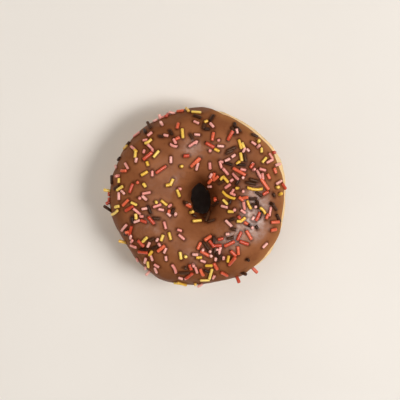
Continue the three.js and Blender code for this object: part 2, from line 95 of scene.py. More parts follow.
# Strands as seen from above: place of the middle, heading anticlockwise from +X in degrees,
# and length. Some have two more numbers: the degrees by which they turn left from end to end,
# and the tilt of one end off the icing. A strand that has only a place stands on end.
STRANDS = {
    "brown": [
        (0.5, 41.5, -20, 4), (5.5, 35, 0, 3), (4, 36.5, 70, 3), (8, 41, 60, 3.5), (-2.5, 31, -60, 3),
        (-13, 33, -60, 3), (19, 34, -70, 4), (22, 35, -50, 3), (20, 37.5, 80, 2.5), (18, 24.5, 25, 5),
        (17, 23, 25, 4), (25, 20.5, -80, 5), (30, 31.5, -25, 3.5), (16.5, 17, -20, 4), (23, 16.5, -5, 4.5),
        (29.5, 8.5, -15, 4.5), (28, 7, -10, 5), (21, 7.5, 60, 3), (12.5, 7.5, 30, 3), (40, 1, -60, 2),
        (32, 1.5, -35, 4), (29, -1, 0, 4), (31.5, -4, -75, 4.5), (29, -4), (33, -9, 70, 4),
        (40.5, -5.5, -55, 3.5), (39, -3.5), (42.5, -11, -65, 4.5), (18, -11.5, 20, 3), (19, -16.5, -10, 2.5),
        (27, -14.5), (31, -15.5, -60, 2), (17, -2.5, 70, 2.5), (10.5, -4, 35, 4), (6, -10.5, 70, 5),
        (7.5, -12, 20, 3.5), (-0.5, -9, -20, 2), (4.5, -8.5, 20, 2), (-6, -3), (9, -22, 85, 4),
        (5, -25, -55, 5), (9.5, -27.5, 80, 4), (11, -30, -60, 4), (12, -31.5, 60, 4), (-6, -39, 0, 5),
        (-5.5, -36.5), (5.5, -38.5, -30, 3), (17.5, -21, 15, 3.5), (26.5, -32.5), (24.5, -39, 30, 3, 0, 45),
        (-24, 36.5, 120, 4, 0, 20), (-26.5, 34, -60, 3), (-18, 31, -10, 2.5), (-36, 28, 50, 3),
        (-40.5, 20, 40, 2.5), (-44, 9, -80, 5.5), (-41.5, 5, 25, 3), (-46, -6, 95, 5, 0, 45),
        (-20.5, -11, -5, 3.5), (-33, -12, -80, 3.5), (-24, -6.5, -70, 4.5), (-12, -7, 60, 3),
        (-27, -27, 0, 4), (-21.5, -26, 20, 3.5), (-23, -22, 30, 3), (-36.5, -18.5, 60, 3),
    ],
    "red": [
        (-9.5, 36.5, 75, 3), (8.5, 31, 80, 4.5), (7, 26.5, -30, 5), (-9.5, 30, 25, 2.5), (-5, 21, 5, 3),
        (-0.5, 17.5, 45, 6.5), (1, 18.5, 50, 3.5), (-8.5, 45.5, 5, 3.5), (-15.5, 43.5, 60, 3.5),
        (17.5, 31.5, 60, 5.5), (28.5, 16, 55, 3), (39.5, 22.5, 5, 2.5), (22, 13, -30, 7.5),
        (35, 6.5, -55, 7), (35.5, 2, 30, 3.5), (37, 10.5, -65, 3), (40.5, 13.5, -70, 3),
        (44.5, 5.5, -55, 3.5), (24.5, -0.5, 10, 4.5), (23, -1, -40, 3), (31.5, -10, 65, 5, 20),
        (36.5, -10, 65, 3), (41, -13, 5, 4), (40, -17, 10, 3), (22, -10.5, -60, 2), (25.5, -13.5, -30, 2.5),
        (9, 11, 75, 3), (10, 9.5, 40, 3.5), (7, 8, 50, 3), (9.5, -1, -60, 2), (-5, -5, -30, 3),
        (1.5, -25, 65, 4), (6, -21, 40, 4.5), (8, -24, -50, 4.5), (10.5, -25, 5, 5), (4.5, -29, -30, 5.5),
        (12.5, -21.5, 15, 3), (10, -36, -60, 4), (3, -39, -65, 4, 30), (-3, -36, -70, 3),
        (-3.5, -40.5, 40, 4.5), (14.5, -40, -30, 4), (-14, -7.5, 80, 2), (22, -20, 65, 5), (17, -24, 25, 6),
        (24.5, -23.5, -20, 5), (27, -19.5, -60, 5.5), (21.5, -27.5, -85, 4.5), (19, -29, -45, 4),
        (18.5, -33.5, 60, 6.5), (29.5, -37, 40, 4.5, 0, 90), (21, -41.5, 25, 3.5, 0, 80),
        (-25, 21, 40, 6), (-18, 14, 35, 6.5), (-30, 7.5), (-33.5, 4.5, 70, 5), (-37.5, 13.5, 0, 3),
        (-45, 1.5, 80, 2), (-44, -2, 80, 3), (-46, -3, -85, 3, 0, 65), (-36.5, -3, 45, 4.5),
        (-34.5, -6, 30, 5), (-27, -12.5, -20, 3.5), (-23, -12, -50, 5), (-34, -17.5, 75, 5),
        (-36, -18.5), (-28.5, -24, -45, 4.5), (-27.5, -28.5, -5, 5), (-18, -26.5, 40, 5),
    ],
    "yellow": [
        (-4.5, 44.5, -55, 5), (0, 44, -5, 5), (5, 39, 25, 2), (-7, 32.5, -85, 5), (10.5, 24, -25, 3),
        (-7.5, 15.5), (22.5, 27, -75, 5), (24, 26.5, -65, 3), (23, 20.5, -80, 4.5), (21.5, 17.5, 45, 2.5),
        (32.5, 29), (33.5, 24, 90, 2.5), (35, 19, 50, 3.5), (15, 9, -50, 4.5), (13, 9.5, 60, 2),
        (21, 4.5), (16.5, 1, -30, 7.5, 50), (30, 4.5, -5, 8, 40), (42, 5), (43.5, 1.5),
        (27, -4, -65, 5, 10), (14.5, -2.5, -45, 3.5), (17.5, -7.5, 0, 3), (34, -7, -50, 4.5, -40),
        (22, -12.5, -5, 2.5), (24, -11.5, 40, 3), (-12.5, 7.5, 65, 4), (-14.5, 6, 10, 2), (-9, 2, -70, 4),
        (-2, -7), (0.5, -12, 5, 4.5), (-13.5, -20, -75, 4), (-8, -30, -80, 4), (-5.5, -30.5),
        (16.5, -32, 80, 3.5), (1.5, -31, 5, 3), (6.5, -35.5, 10, 4), (7.5, -40, 75, 5.5),
        (4.5, -43, 0, 5), (-7.5, -45, -20, 5), (-10, -46, -5, 4), (-0.5, -45, 90, 3.5),
        (-24.5, 28.5, 40, 4), (-25.5, 28, 15, 2.5), (-20.5, 22, 50, 4.5), (-25, 17, -70, 2.5),
        (-37, 26, 35, 3), (-31.5, 22, 85, 3.5), (-31.5, 24, -40, 2), (-26.5, 12, 30, 4),
        (-26.5, 6, -55, 2.5), (-40, 8.5, 90, 2.5), (-39.5, 4.5, 35, 4), (-48, 3.5, 90, 4, 0, 85),
        (-41, -5, 15, 2.5), (-42, -8, 35, 5.5, 20), (-32, -3.5, -25, 3.5), (-31, -10, -85, 3),
        (-20.5, -2.5), (-16.5, -3, -40, 4), (-38.5, -23.5, 120, 4.5, 0, 45), (-26.5, -22, 45, 4),
        (-23.5, -29, 55, 3), (-25, -35, -85, 3), (-17.5, -21, 70, 3.5),
    ],
    "pink": [
        (0, 38.5, -25, 3), (8, 37, -50, 3), (0.5, 32, -5, 3), (11.5, 29), (12.5, 26, -5, 3.5), (7, 23.5),
        (-11.5, 26.5, -20, 4, 60), (-11, 28.5, -65, 3), (-2, 27, 35, 4.5), (0, 28, 60, 2),
        (-13, 19, 90, 3.5), (0.5, 15.5, 75, 4), (7, 16, -85, 3.5), (12.5, 16.5, -75, 4), (13, 18, -10, 2),
        (16, 19, 25, 3), (-15.5, 31.5, -10, 2.5), (-13, 45, 10, 3), (21, 34, -70, 2.5), (24.5, 24, 65, 3),
        (26.5, 24, -45, 2), (19, 21, 35, 2.5), (29, 17, -40, 1.5), (29.5, 14), (29.5, 27.5, -35, 3),
        (32, 26), (38.5, 21, -60, 3.5), (38, 18.5, 30, 3.5), (41.5, 16.5, 20, 3), (24, 14, -10, 3),
        (15, 13, -55, 4.5), (20, 10.5, -45, 5, 20), (18, 8.5, 40, 2), (24, 10), (16, 5.5, 35, 3.5),
        (18.5, 3, 60, 2.5), (18.5, 1.5, -25, 3), (24, 3), (34, 14, -15, 3.5), (32, 12, -65, 4.5),
        (34, 10.5, -80, 3.5), (32.5, 10.5, -60, 4), (42.5, 7.5, 30, 3.5), (24.5, -4.5, -80, 4.5, 15),
        (14, -5, -15, 3.5), (24, -7.5, -35, 3), (19.5, -6.5), (30.5, -5), (38, -7.5, 80, 5),
        (16.5, -13.5, -45, 4.5), (29, -11, 60, 2), (28.5, -15.5), (-8, 4), (7.5, 11, 60, 2.5),
        (7, 5.5, 0, 2), (-2, -3, 0, 2), (-13.5, -4.5, 40, 2.5), (-14, -9, -45, 2.5), (-10.5, -9),
        (-8.5, -17, -20, 2.5), (-7.5, -20.5, -40, 4), (-11.5, -37, -65, 5, -40), (3.5, -27), (7, -28),
        (7.5, -30), (10.5, -27, 0, 2), (12, -27.5, 75, 4), (10, -32, 80, 2), (14, -31.5, 85, 2),
        (-0.5, -29.5, -5, 3), (3.5, -33, -20, 3), (0, -37.5, -70, 3.5), (-1.5, -35), (-5, -42, 30, 2),
        (-8, -42, -20, 2.5), (2, -45.5, 10, 3), (9, -41.5, 60, 2), (16, -19, 10, 2), (35.5, -25, 45, 3.5),
        (-24, 26, -45, 3), (-22.5, 24), (-27, 23.5, 70, 2), (-26.5, 29.5, 10, 2.5), (-24, 32.5, 40, 3),
        (-30.5, 32, 33, 4), (-21, 39, 30, 2.5), (-18, 43.5, 20, 3), (-18, 38), (-18.5, 40.5),
        (-42.5, 16, -60, 3), (-36, 16, -60, 3.5), (-33, 25.5, -40, 3), (-31, 19, 70, 2.5),
        (-22.5, 12, 90, 3), (-41, 11), (-38, 2.5, -40, 3), (-40, 0.5, 90, 4), (-30.5, -7.5, -45, 5),
        (-28, -10, 0, 2), (-30.5, -12.5, 20, 3.5), (-25.5, 2, 10, 4.5), (-26.5, -0.5, -45, 3.5),
        (-29, -0.5), (-26.5, -6, 10, 3), (-20, -4.5, 20, 4.5), (-18, -6.5, -10, 3), (-16, -14.5, -75, 4),
        (-37.5, -16, 50, 4.5), (-34, -21, 65, 3), (-33.5, -23, 45, 3), (-32.5, -25.5, -20, 3.5),
        (-24.5, -24.5, 65, 3), (-23, -31.5, -70, 3), (-30, -32, -70, 2), (-26.5, -33, 75, 3),
        (-26.5, -37, 70, 3), (-24.5, -38.5), (-20.5, -35.5, -30, 3), (-21, -38, -70, 3),
        (-15.5, -31.5, -85, 2.5), (-16, -27.5, 65, 3), (-19, -24.5, -45, 2), (-20, -22, 60, 2),
    ],
}

# ---- Sums shared by the shapes ---------------------------------------------------------------

SLOPE_STEP = 1e-4  # for slopes taken as differences
UNEVEN_WAVES = 40
WAVE_SHARES = 0.7, 1.6  # the shortest and the longest of those waves, as shares of the grain


def signed_power(value, power):
    """The size of a value to a power, with the value's own sign."""
    return np.sign(value) * np.abs(value) ** power


def sum_of_waves(waves, turn):
    """The sum of swell times cos(lobes times (turn - peak)) over the waves."""
    return sum(swell * np.cos(lobes * (turn - np.radians(peak))) for lobes, swell, peak in waves)


def smooth_step(value, low, high):
    """0 below low, 1 above high, and 3 s squared - 2 s cubed of the share s between them."""
    share = np.clip((value - low) / (high - low), 0, 1)
    return share * share * (3 - 2 * share)


def bell(distance, width, power=2):
    """exp(-((distance / width) to a power)): 1 in the middle, with a flatter top and steeper
    sides for a higher power."""
    return np.exp(-((distance / width) ** power))


def unit(vectors):
    """Vectors divided by their own lengths."""
    return vectors / np.linalg.norm(vectors, axis=-1, keepdims=True)


def uneven(points, grain, seed):
    """A smooth random height of about unit size over points in space: the sum of plane waves
    cos(k . p + phase) with random ways and phases, and lengths near grain."""
    draw = np.random.default_rng(seed)
    ways = unit(draw.normal(size=(UNEVEN_WAVES, 3)))
    ways *= 2 * np.pi / (grain * draw.uniform(*WAVE_SHARES, size=(UNEVEN_WAVES, 1)))
    phases = draw.uniform(0, 2 * np.pi, size=UNEVEN_WAVES)
    return np.cos(points @ ways.T + phases).sum(axis=-1) * math.sqrt(2 / UNEVEN_WAVES)


# ---- The two skins ---------------------------------------------------------------------------
# A point has two angles: turn, round the ring from +X, and around, in the section from the
# waist at 0 over the crown at 90 degrees and the hole at 180 to the underside.


def bareness(turn):
    """0 where the icing hangs over the waist, 1 on the high side, where it stops short of it."""
    return smooth_step(np.cos(turn - HIGH_SIDE), HIGH_FROM, HIGH_TO)


def rim_radius(turn):
    """Mean radius, plus a swell where the waist is bare, plus the rim's waves."""
    return RIM_RADIUS + BARE_SWELL * bareness(turn) + sum_of_waves(RIM_WAVES, turn)


def hole_radius(turn):
    """Radius of an oval at an angle: 1 / hypot(cos / half width, sin / half length)."""
    across = np.cos(turn - HOLE_LEAN) / HOLE_HALF_WIDTH
    along = np.sin(turn - HOLE_LEAN) / HOLE_HALF_LENGTH
    return 1 / np.hypot(across, along)


def lump_height(turn, around):
    """The sum of swell x cos(rounds x turn + shift) x sin(across x around) over the lumps."""
    return sum(
        swell * np.cos(rounds * turn + np.radians(shift)) * np.sin(across * around)
        for rounds, across, swell, shift in LUMPS
    )


def dough_skin(turn, around):
    """A superellipse section carried round the ring: the share out from hole to rim is
    (1 + cos^(2/n)) / 2, the height over the waist is sin^(2/n) times the reach up or down,
    lumps push out along the section's own radius, and z never goes below the plate."""
    out = (1 + signed_power(np.cos(around), 2 / FULLNESS)) / 2
    rise = signed_power(np.sin(around), 2 / FULLNESS)
    reach = np.where(rise > 0, DOUGH_HEIGHT - WAIST_HEIGHT, WAIST_HEIGHT + PRESSED)
    lump = lump_height(turn, around)
    radius = hole_radius(turn) * (1 - out) + rim_radius(turn) * out + lump * np.cos(around)
    x = HOLE_X * (1 - out) + radius * np.cos(turn)
    y = HOLE_Y * (1 - out) + radius * np.sin(turn)
    z = np.maximum(0, WAIST_HEIGHT + rise * reach + lump * np.sin(around))
    return np.stack([x, y, z], axis=-1)


def outward(skin, turn, around):
    """The unit cross product of a skin's slopes round the ring and across the section."""
    rounds = skin(turn + SLOPE_STEP, around) - skin(turn - SLOPE_STEP, around)
    across = skin(turn, around + SLOPE_STEP) - skin(turn, around - SLOPE_STEP)
    return unit(np.cross(rounds, across))


def outer_edge(turn):
    """The icing's outer edge as an angle: high on one side, low on the other, plus waves."""
    climb = (HIGH_EDGE - LOW_EDGE) * bareness(turn)
    return np.radians(LOW_EDGE + climb + sum_of_waves(EDGE_WAVES, turn))


def hole_edge(turn):
    """The icing's edge down the hole: a mean angle plus waves."""
    return np.radians(HOLE_EDGE + sum_of_waves(HOLE_EDGE_WAVES, turn))


def from_edge(turn, around):
    """Length over the section from the nearer of the icing's two edges."""
    return SECTION_RADIUS * np.minimum(around - outer_edge(turn), hole_edge(turn) - around)


def icing_thickness(turn, around):
    """A quarter ellipse from nothing at an edge to the full thickness at the lip's width."""
    short = 1 - np.clip(from_edge(turn, around) / ICING_LIP, 0, 1)
    return ICING_THICKNESS * np.sqrt(np.maximum(0, 1 - short * short))


def icing_skin(turn, around):
    """The dough's skin raised by the icing's thickness."""
    way = outward(dough_skin, turn, around)
    return dough_skin(turn, around) + way * icing_thickness(turn, around)[..., None]


# ---- Relief that only the eye needs ----------------------------------------------------------

# Height, grain and seed of what is uneven.
ICING_WAVES = [(0.16, 17, 11), (0.07, 7, 12)]
PUCKERS = [(0.12, 9, 21), (0.05, 3.6, 22)]
CREASE_HEIGHT, CREASE_GRAIN, CREASE_SEED = 0.06, 5, 23
CREASE_FLATNESS = 3.2  # how many times longer than high a crease is
WAIST_WIDTH = 0.55  # radians from the waist at which the creases have mostly faded
BEAD_HEIGHT, BEAD_WIDTH = 0.22, 1.5
BEAD_IN = 2.4  # how far the bead's middle lies from the icing's edge
RELIEF_FULL_AT = 2.5  # how far in from its edge the icing has its relief in full


def uneven_sum(points, waves):
    """The sum of height times an uneven height of that grain and seed."""
    return sum(height * uneven(points, grain, seed) for height, grain, seed in waves)


def icing_relief(points, depth_in):
    """Slow waves of set icing, and a bead that gathers just in from its edges: waves of two
    sizes plus a bell round the bead's middle, all fading out at the edge."""
    bead = BEAD_HEIGHT * bell(depth_in - BEAD_IN, BEAD_WIDTH)
    return (uneven_sum(points, ICING_WAVES) + bead) * smooth_step(depth_in, 0, RELIEF_FULL_AT)


def dough_relief(points, around):
    """Soft dimples all over, finer puckers, and lengthways creases along the pale waist, which
    are an uneven height over points stretched upwards, times a bell round the waist."""
    stretched = points * [1, 1, CREASE_FLATNESS]
    creases = CREASE_HEIGHT * bell(around, WAIST_WIDTH)
    return uneven_sum(points, PUCKERS) + creases * uneven(stretched, CREASE_GRAIN, CREASE_SEED)


# ---- Strands: the same rule as in the solids -------------------------------------------------


def angles_under(x, y):
    """The icing's two angles under a place seen from above, in rounds of guesses. The middle
    of the ring moves from the hole's to the origin with the share out from hole to rim, so
    each round takes the angle and the share about the middle that the last share gives."""
    turn, out = np.arctan2(y, x), np.full(np.shape(x), 0.5)
    for _ in range(ROUNDS_OF_GUESSES):
        dx, dy = x - HOLE_X * (1 - out), y - HOLE_Y * (1 - out)
        turn = np.arctan2(dy, dx)
        wide = rim_radius(turn) - hole_radius(turn)
        out = np.clip((np.hypot(dx, dy) - hole_radius(turn)) / wide, 0, 1)
    around = np.arccos(signed_power(2 * out - 1, FULLNESS / 2))
    lowest = np.maximum(math.radians(LOWEST), outer_edge(turn) + math.radians(EDGE_MARGIN))
    deepest = hole_edge(turn) - math.radians(HOLE_MARGIN)
    return turn, np.clip(around, lowest, deepest)


def in_full(row):
    """A row with what it leaves out: no bend and no tilt, or all but a standing strand's place."""
    if len(row) > 2:
        return (row + (0, 0))[:6]
    return row + (STANDING_SPIN * sum(row), STANDING_LENGTH, 0, STANDING_TILT)


def strands_over(x, y, pose, lean):
    """Strands set in the icing under places seen from above, which follow it at their headings,
    one end raised by tilt plus lean. Gives the arrays centre, axis, side, length and bend, the
    icing's way up, the middle's height over it, and the icing's relief under each."""
    heading, length, bend, tilt = pose
    angles = angles_under(x, y)
    skin, up = icing_skin(*angles), outward(icing_skin, *angles)
    cos, sin = np.cos(np.radians(heading)), np.sin(np.radians(heading))
    down = (cos * up[:, 0] + sin * up[:, 1]) / np.maximum(up[:, 2], STEEPEST)
    along = np.stack([cos, sin, -down], axis=-1)
    length = length * np.minimum(np.linalg.norm(along, axis=-1), MOST_STRETCH)
    flat = unit(along - up * (along * up).sum(axis=-1, keepdims=True))
    rise = np.radians(tilt + lean)
    ride = STRAND_RIDE * np.cos(rise) + (length / 2 - STRAND_ROOT) * np.abs(np.sin(rise))
    relief = icing_relief(skin, from_edge(*angles))
    return {
        "centre": skin + up * ride[:, None],
        "axis": flat * np.cos(rise)[:, None] + up * np.sin(rise)[:, None],
        "side": np.cross(up, flat),
        "length": length,
        "bend": np.radians(bend),
        "up": up,
        "ride": ride,
        "relief": up * relief[:, None],
    }


def strands_at(rows, lean):
    """Strands whose middles are at the rows' places: set once, then moved back by their miss."""
    x, y, *pose = rows.T
    miss = strands_over(x, y, pose, lean)["centre"][:, :2] - rows[:, :2]
    return strands_over(x - miss[:, 0], y - miss[:, 1], pose, lean)


def points_along(strands):
    """Five points on each strand's axis: centre + axis x share x length."""
    centre, axis, length = (strands[key][:, None] for key in ("centre", "axis", "length"))
    return centre + axis * AXIS_SHARES[:, None] * length[..., None]


def laid_strands():
    """Every strand, leaning only if it would cut through one laid before it, and then raised
    by the relief under it. Gives the colour of each and the strands' arrays."""
    sugars = [sugar for sugar, rows in STRANDS.items() for _ in rows]
    rows = np.array([in_full(row) for laid in STRANDS.values() for row in laid], float)
    leaning = [strands_at(rows, lean) for lean in LEANS]
    tried = np.stack([points_along(strands) for strands in leaning], axis=1)
    taken, chosen = np.full((1, 3), FAR_OFF), []
    for points in tried:
        gaps = np.linalg.norm(points[:, :, None] - taken, axis=-1).min(axis=(1, 2))
        chosen.append(int(np.argmax(gaps > STRAND_SPACING)))  # the first that is clear, or flat
        taken = np.concatenate([taken, points[chosen[-1]]])
    each = np.arange(len(rows))
    strands = {key: np.stack([way[key] for way in leaning])[chosen, each] for key in leaning[0]}
    strands["centre"] += strands["relief"]
    return np.array(sugars), strands


# ---- Putting arrays into meshes --------------------------------------------------------------

FINISH_SLOTS = {"dough_ring": "fried_dough", "chocolate_icing": "milk_chocolate_icing"}


def ring_faces(rounds, across):
    """Quads of a grid that closes on itself both ways, as rows of four corners."""
    i, j = np.meshgrid(np.arange(rounds), np.arange(across), indexing="ij")
    following_i, following_j = (i + 1) % rounds, (j + 1) % across
    corners = [(i, j), (following_i, j), (following_i, following_j), (i, following_j)]
    return np.stack([a * across + b for a, b in corners], axis=-1).reshape(-1, 4)


def put_in_scene(name, data):
    """An object of a mesh, a light or a camera."""
    made = bpy.data.objects.new(name, data)
    bpy.context.scene.collection.objects.link(made)
    return made


def make_piece(name, stands_for, points, faces, finish, values):
    """A smooth mesh object from points in millimetres, with float attributes by name. It stands for a solid,
    which is hidden, and rides on the root body."""
    mesh = bpy.data.meshes.new(name)
    mesh.from_pydata((points.reshape(-1, 3) * METRE).tolist(), [], faces)
    for key, value in values.items():
        held = mesh.attributes.new(key, "FLOAT", "POINT")
        held.data.foreach_set("value", np.ascontiguousarray(value, np.float32).ravel())
    mesh.shade_smooth()
    mesh.materials.append(finish)
    piece, slot = put_in_scene(name, mesh), FINISH_SLOTS[stands_for]
    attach(piece, "root")
    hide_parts(stands_for)


# ---- Shader maths ----------------------------------------------------------------------------


class Value:
    """A shader socket that takes part in Python sums, each operator adding its Math node."""

    def __init__(self, finish, socket):
        self.finish, self.socket = finish, socket

    def maths(self, operation, *terms):
        """A Math node over its two terms."""
        inputs = dict(enumerate(terms))
        return self.finish.node("ShaderNodeMath", {"operation": operation}, inputs)

    def __add__(self, other):
        return self.maths("ADD", self, other)

    def __sub__(self, other):
        return self.maths("SUBTRACT", self, other)

    def __rsub__(self, other):
        return self.maths("SUBTRACT", other, self)

    def __mul__(self, other):
        return self.maths("MULTIPLY", self, other)

    __radd__, __rmul__ = __add__, __mul__

    def between(self, low, high):
        """0 at low, 1 at high, smooth between them and level beyond."""
        settings = {"interpolation_type": "SMOOTHSTEP"}
        return self.finish.node("ShaderNodeMapRange", settings, {0: self, 1: low, 2: high})


class Finish:
    """A material being made. Its place is the object's own coordinates in millimetres."""

    def __init__(self, name):
        self.material = bpy.data.materials.new(name)
        self.material.use_nodes = True
        self.tree = self.material.node_tree
        self.tree.nodes.clear()
        metres = self.node("ShaderNodeTexCoord", output="Object")
        scaled = {"operation": "SCALE"}
        self.place = self.node("ShaderNodeVectorMath", scaled, {0: metres, "Scale": 1 / METRE})

    def node(self, kind, settings=None, inputs=None, output=0):
        """Adds a node of a kind, sets its settings, then its sockets, and gives an output if
        it has one."""
        made = self.tree.nodes.new(kind)
        for key, value in (settings or {}).items():
            setattr(made, key, value)
        for key, value in (inputs or {}).items():
            if isinstance(value, Value):
                self.tree.links.new(value.socket, made.inputs[key])
            else:
                made.inputs[key].default_value = value
        return Value(self, made.outputs[output]) if made.outputs else None

    def held(self, name):
        """A float attribute of the mesh."""
        return self.node("ShaderNodeAttribute", {"attribute_name": name}, output="Fac")

    def noise(self, grain, detail, roughness=0.5):
        """Noise of a grain in millimetres, with so many finer layers added."""
        inputs = {
            "Vector": self.place, "Scale": 1 / grain, "Detail": detail, "Roughness": roughness,
        }
        return self.node("ShaderNodeTexNoise", None, inputs)

    def cells(self, grain):
        """Distance to the nearest of scattered points that lie about a grain apart."""
        return self.node("ShaderNodeTexVoronoi", None, {"Vector": self.place, "Scale": 1 / grain})

    def mix(self, share, first, second):
        """A colour that goes from the first to the second as the share goes from 0 to 1."""
        settings = {"data_type": "RGBA"}
        return self.node("ShaderNodeMix", settings, {0: share, 6: first, 7: second}, output=2)

    def bump(self, height):
        """A normal from a height in millimetres."""
        inputs = {"Height": height, "Strength": 1.0, "Distance": METRE}
        return self.node("ShaderNodeBump", None, inputs)

    def surface(self, **inputs):
        """Joins a Principled shader to the output and gives the finished material. Words of a
        socket's name are joined by underscores here."""
        sockets = {key.replace("_", " "): value for key, value in inputs.items()}
        shader = self.node("ShaderNodeBsdfPrincipled", None, sockets)
        self.node("ShaderNodeOutputMaterial", None, {"Surface": shader})
        return self.material


def colour(red, green, blue):
    """An opaque colour."""
    return (red, green, blue, 1)


# ---- Finishes --------------------------------------------------------------------------------

MILK_BROWN, PALE_MILK_BROWN = colour(0.226, 0.0765, 0.028), colour(0.297, 0.107, 0.041)
FRECKLE_BROWN = colour(0.15, 0.045, 0.014)
# Where the icing is painted with shade or turns paler: the attribute, how strongly, and the tone.
ICING_TONES = [
    # painted shade down the hole, sooner on the +X side
    ("hole_shade", 0.8, colour(0.075, 0.018, 0.004)),
    # painted shade where the strands crowd
    ("crowd_shade", 0.5, colour(0.09, 0.024, 0.008)),
    # painted shade next to the strands
    ("strand_shade", 0.75, colour(0.065, 0.014, 0.005)),
    # painted shade low on the outer slope, on the side away from the high edge
    ("low_slope_shade", 0.5, colour(0.13, 0.036, 0.006)),
    ("thin", 0.85, colour(0.5, 0.23, 0.07)),
]
PALE_CRUST, CRUST_FLECK = colour(0.92, 0.63, 0.31), colour(0.42, 0.2, 0.07)
# Tones of the crust as it browns, the last one painted shade in the hole and under it: the browning where
# each sets in and where it is reached.
CRUST_TONES = [
    (0.05, 0.6, colour(0.66, 0.36, 0.13)),
    (0.5, 1.15, colour(0.4, 0.16, 0.045)),
    # painted shade in the hole and under it
    (1.15, 1.7, colour(0.09, 0.026, 0.01)),
]
# Darkest, lightest and painted-shade tone of each sugar, and the weight of its wax.
SUGAR_LOOKS = {
    "red": ((0.56, 0.056, 0.018), (0.8, 0.143, 0.055), (0.2, 0.012, 0.004), 0.25),
    "pink": ((0.82, 0.28, 0.23), (0.93, 0.48, 0.41), (0.32, 0.06, 0.035), 0.25),
    "yellow": ((0.86, 0.49, 0.045), (0.95, 0.67, 0.13), (0.3, 0.11, 0.008), 0.25),
    "brown": ((0.035, 0.012, 0.005), (0.08, 0.032, 0.014), (0.03, 0.009, 0.004), 0.07),
}


def icing_finish():
    """Set milk chocolate: mottled brown with soft freckles, golden where it thins out at its high edge, with
    painted shade low on the outer slope away from the high edge, down the hole, next to the strands and
    where they crowd, and glossy in patches."""
    finish = Finish("set_milk_chocolate")
    mottle = finish.noise(11, 3).between(0.35, 0.65)
    base = finish.mix(mottle, MILK_BROWN, PALE_MILK_BROWN)
    freckle = finish.noise(2.2, 3).between(0.55, 0.8)
    base = finish.mix(freckle * 0.4, base, FRECKLE_BROWN)
    for place, strength, tone in ICING_TONES:
        base = finish.mix(finish.held(place) * strength, base, tone)
    patches = 0.6 + 0.4 * finish.noise(1.3, 2).between(0.45, 0.6)
    height = 0.05 * finish.noise(2.6, 2) + 0.02 * finish.noise(0.7, 2)
    return finish.surface(
        Base_Color=base,
        Roughness=0.38 + 0.14 * finish.noise(5, 3),
        Specular_IOR_Level=0.04,
        Coat_Weight=patches * finish.held("gloss"),
        Coat_Roughness=0.33,
        Coat_IOR=1.9,
        Normal=finish.bump(height),
    )


def dough_finish():
    """Fried dough: pale at the waist, golden brown away from it, with painted shade near black in the hole
    and under it, mottled, flecked and finely pored."""
    finish = Finish("fried_dough")
    browning_and_shade = finish.held("browning_and_shade") + 0.45 * (finish.noise(6, 4, 0.6) - 0.5)
    base = PALE_CRUST
    for sets_in, reached, tone in CRUST_TONES:
        base = finish.mix(browning_and_shade.between(sets_in, reached), base, tone)
    fleck = finish.noise(1.3, 4, 0.65).between(0.56, 0.78)
    base = finish.mix(fleck * 0.35, base, CRUST_FLECK)
    pores = finish.cells(1.7).between(0.0, 0.32)
    height = 0.1 * pores + 0.12 * finish.noise(1.6, 5, 0.6) + 0.06 * finish.noise(0.5, 3)
    return finish.surface(
        Base_Color=base,
        Roughness=0.5 + 0.25 * finish.noise(3, 3),
        Specular_IOR_Level=0.2,
        Subsurface_Weight=0.12,
        Subsurface_Scale=0.002,
        Subsurface_Radius=(1.0, 0.55, 0.25),
        Normal=finish.bump(height),
    )


def sugar_finish(sugar):
    """Pressed sugar: each strand a little darker or lighter, with painted shade low down towards its foot,
    waxy, with a fine grain."""
    finish = Finish("pressed_sugar_" + sugar)
    *tones, wax = SUGAR_LOOKS[sugar]
    dark, light, shade_tone = (colour(*tone) for tone in tones)
    tone = finish.held("tone") + 0.35 * (finish.noise(0.8, 3) - 0.5)
    base = finish.mix(tone.between(0, 1), dark, light)
    # painted shade on the strand's lower sides
    return finish.surface(
        Base_Color=finish.mix(finish.held("foot_shade") * 0.9, base, shade_tone),
        Roughness=0.34 + 0.14 * finish.noise(0.6, 2),
        Specular_IOR_Level=wax * 2,
        Coat_Weight=wax,
        Coat_Roughness=0.16,
        Normal=finish.bump(0.03 * finish.noise(0.35, 3)),
    )


# ---- The dough's piece -----------------------------------------------------------------------

DOUGH_ROUNDS, DOUGH_ACROSS = 480, 190
DOUGH_LIFTED = 1.5  # height over the plate from which the dough has its relief in full
# Degrees from the waist, first under it and then over it.
PALE_TO, GOLDEN_FROM = (4, 26), (44, 74)
CRUST_SHADE, CRUST_SHADE_FROM, CRUST_SHADE_AT = 0.8, 125, 160  # painted shade added on top of the browning, and the degrees where it grows


def make_dough():
    """The dough's skin plus its relief, never below the plate. Browning is 0 near the waist and grows to 1
    with the angle from it, sooner below it, and painted shade adds to it in the hole and under it."""
    turn, around = np.meshgrid(
        np.linspace(0, 2 * np.pi, DOUGH_ROUNDS, endpoint=False),
        np.linspace(-np.pi, np.pi, DOUGH_ACROSS, endpoint=False),
        indexing="ij",
    )
    points = dough_skin(turn, around)
    relief = dough_relief(points, around) * smooth_step(points[..., 2], 0, DOUGH_LIFTED)
    points = points + outward(dough_skin, turn, around) * relief[..., None]
    points[..., 2] = np.maximum(0, points[..., 2])
    below, from_waist = around < 0, np.abs(np.degrees(around))
    pale_to, golden_from = np.where(below, *PALE_TO), np.where(below, *GOLDEN_FROM)
    browning_and_shade = smooth_step(from_waist, pale_to, golden_from)
    # painted shade in the hole and under it
    browning_and_shade += CRUST_SHADE * smooth_step(from_waist, CRUST_SHADE_FROM, CRUST_SHADE_AT)
    faces = ring_faces(DOUGH_ROUNDS, DOUGH_ACROSS).tolist()
    make_piece("dough", "dough_ring", points, faces, dough_finish(), {"browning_and_shade": browning_and_shade})


# ---- The icing's piece -----------------------------------------------------------------------

